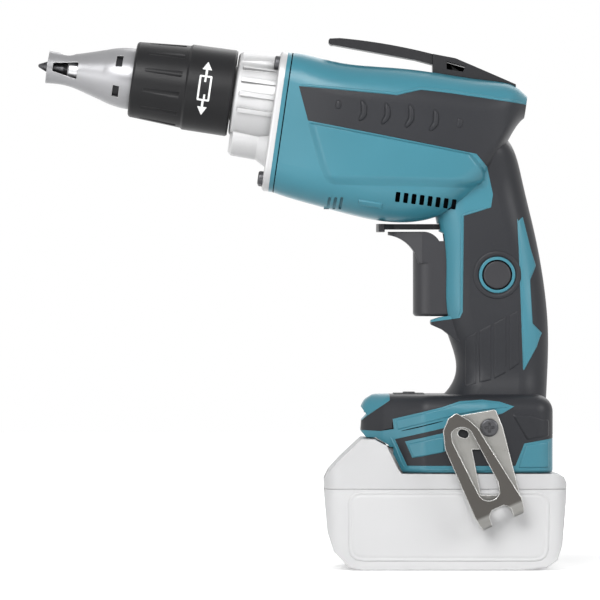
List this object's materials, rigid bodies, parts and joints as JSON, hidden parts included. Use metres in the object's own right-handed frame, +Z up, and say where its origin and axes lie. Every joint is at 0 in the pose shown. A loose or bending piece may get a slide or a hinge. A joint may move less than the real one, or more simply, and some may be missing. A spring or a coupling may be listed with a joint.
{
  "type": "drywall screwdriver",
  "caption": "Pistol-grip cordless drywall screwdriver with a depth-setting nose, slide-on battery, belt hook and hang hook.",
  "frame": {"origin": "middle of the battery's flat base, where the tool stands", "axes": "-X towards the nose, +Z up, Y = 0 the tool's mid-plane, +Y the tool's right side"},
  "size_m": [0.2524, 0.0879, 0.2538],
  "materials": {
    "teal_plastic": "satin",
    "black_rubber": "matt",
    "black_plastic": "matt",
    "grey_plastic": "matt",
    "cast_aluminium": "fine cast",
    "nose_metal": "satin",
    "polished_steel": "polished",
    "steel": "ground",
    "dark_steel": "blackened",
    "bronze": "plain",
    "copper": "enamelled wire",
    "board_green": "circuit board",
    "clear_lens": "clear",
    "battery_shell": "pale milky plastic",
    "battery_band": "pale milky plastic",
    "cell_wrap": "can in a shrink sleeve",
    "magnet": "plated"
  },
  "bodies": {
    "casing": {"housing_left": "teal_plastic", "housing_right": "teal_plastic", "grip_left": "black_rubber", "grip_right": "black_rubber", "bearing_box": "teal_plastic", "gear_case": "cast_aluminium", "gear_case_screws": "dark_steel", "housing_screws": "dark_steel", "stator_core": "dark_steel", "stator_coils": "copper", "sensor_board": "board_green", "motor_bearing_front": "steel", "motor_bearing_rear": "steel", "tail_bush": "bronze", "spindle_bush": "bronze", "dust_seal": "black_rubber", "switch_body": "black_plastic", "lever_pivot_pin": "steel", "lock_ring": "teal_plastic", "controller": "board_green", "terminal_block": "black_plastic", "tool_terminals": "steel", "lamp_lens": "clear_lens", "gauge_panel": "black_plastic", "hang_hook": "black_plastic", "hang_hook_base": "black_plastic", "belt_hook": "polished_steel", "belt_hook_screw": "steel", "clutch_spring": "steel", "trigger_spring": "steel"},
    "rotor": {"rotor_shaft": "steel", "rotor_core": "dark_steel", "rotor_magnets": "magnet", "fan": "black_plastic", "pinion": "dark_steel"},
    "drive_gear": {"drive_gear": "dark_steel"},
    "thrust_washer": {"thrust_washer": "steel"},
    "spindle": {"spindle": "steel", "snap_ring": "dark_steel"},
    "bit_holder": {"bit_holder": "steel", "holder_magnet": "magnet"},
    "screwdriver_bit": {"screwdriver_bit": "dark_steel"},
    "depth_sleeve": {"depth_sleeve": "black_plastic", "sleeve_grip": "black_rubber"},
    "depth_ring": {"depth_ring": "black_plastic"},
    "nose_locator": {"nose_locator": "nose_metal"},
    "trigger": {"trigger": "grey_plastic", "switch_plunger": "black_plastic"},
    "lock_button": {"lock_button": "black_plastic"},
    "reverse_lever": {"reverse_lever": "black_plastic"},
    "gauge_button": {"gauge_button": "grey_plastic"},
    "battery": {"battery_case": "battery_shell", "battery_cover": "battery_band", "battery_cells": "cell_wrap", "cell_straps": "steel", "battery_terminals": "steel", "battery_screws": "dark_steel"},
    "battery_button": {"battery_button": "battery_shell"}
  },
  "joints": [
    {"name": "rotor_spin", "type": "hinge", "parent": "casing", "child": "rotor", "pos_m": [-0.05876, 0, 0.20115], "axis": [-0.9898, 0, 0.1426], "continuous": true},
    {"name": "drive_gear_spin", "type": "hinge", "parent": "casing", "child": "drive_gear", "pos_m": [-0.08758, 0, 0.22551], "axis": [-0.9898, 0, 0.1426], "continuous": true},
    {"name": "spindle_push", "type": "slide", "parent": "casing", "child": "thrust_washer", "axis": [0.9898, 0, -0.1426], "range_m": [0, 0.002], "stiffness_N_per_m": 4000, "springref_m": -0.002, "deforming": ["clutch_spring"]},
    {"name": "spindle_spin", "type": "hinge", "parent": "thrust_washer", "child": "spindle", "pos_m": [-0.11529, 0, 0.2295], "axis": [-0.9898, 0, 0.1426], "continuous": true},
    {"name": "bit_holder_pull", "type": "slide", "parent": "spindle", "child": "bit_holder", "axis": [-0.9898, 0, 0.1426], "range_m": [0, 0.016]},
    {"name": "bit_pull", "type": "slide", "parent": "bit_holder", "child": "screwdriver_bit", "axis": [-0.9898, 0, 0.1426], "range_m": [0, 0.014]},
    {"name": "depth_sleeve_turn", "type": "hinge", "parent": "casing", "child": "depth_sleeve", "pos_m": [-0.12519, 0, 0.23093], "axis": [-0.9898, 0, 0.1426], "range_deg": [-360, 360]},
    {"name": "depth_ring_slide", "type": "slide", "parent": "casing", "child": "depth_ring", "axis": [-0.9898, 0, 0.1426], "range_m": [-0.002, 0.002]},
    {"name": "nose_pull", "type": "slide", "parent": "depth_ring", "child": "nose_locator", "axis": [-0.9898, 0, 0.1426], "range_m": [0, 0.05]},
    {"name": "trigger_pull", "type": "slide", "parent": "casing", "child": "trigger", "axis": [1, 0, 0], "range_m": [0, 0.0063], "stiffness_N_per_m": 900, "springref_m": -0.004, "deforming": ["trigger_spring"]},
    {"name": "lock_button_push", "type": "slide", "parent": "casing", "child": "lock_button", "axis": [0, 1, 0], "range_m": [0, 0.0025], "stiffness_N_per_m": 800, "springref_m": -0.002},
    {"name": "reverse_lever_swing", "type": "hinge", "parent": "casing", "child": "reverse_lever", "pos_m": [0.004, 0, 0.1635], "axis": [0, 0, 1], "range_deg": [-8, 8]},
    {"name": "gauge_button_push", "type": "slide", "parent": "casing", "child": "gauge_button", "axis": [0, 0, -1], "range_m": [0, 0.0008], "stiffness_N_per_m": 900, "springref_m": -0.0008},
    {"name": "battery_slide", "type": "slide", "parent": "casing", "child": "battery", "axis": [-1, 0, 0], "range_m": [0, 0.1]},
    {"name": "battery_button_push", "type": "slide", "parent": "battery", "child": "battery_button", "axis": [0, 0, -1], "range_m": [0, 0.004], "stiffness_N_per_m": 900, "springref_m": -0.003}
  ],
  "couplings": [
    {"joint": "drive_gear_spin", "follows": "rotor_spin", "ratio": -0.21951},
    {"joint": "depth_ring_slide", "follows": "depth_sleeve_turn", "m_per_rad": 0.00031831}
  ]
}
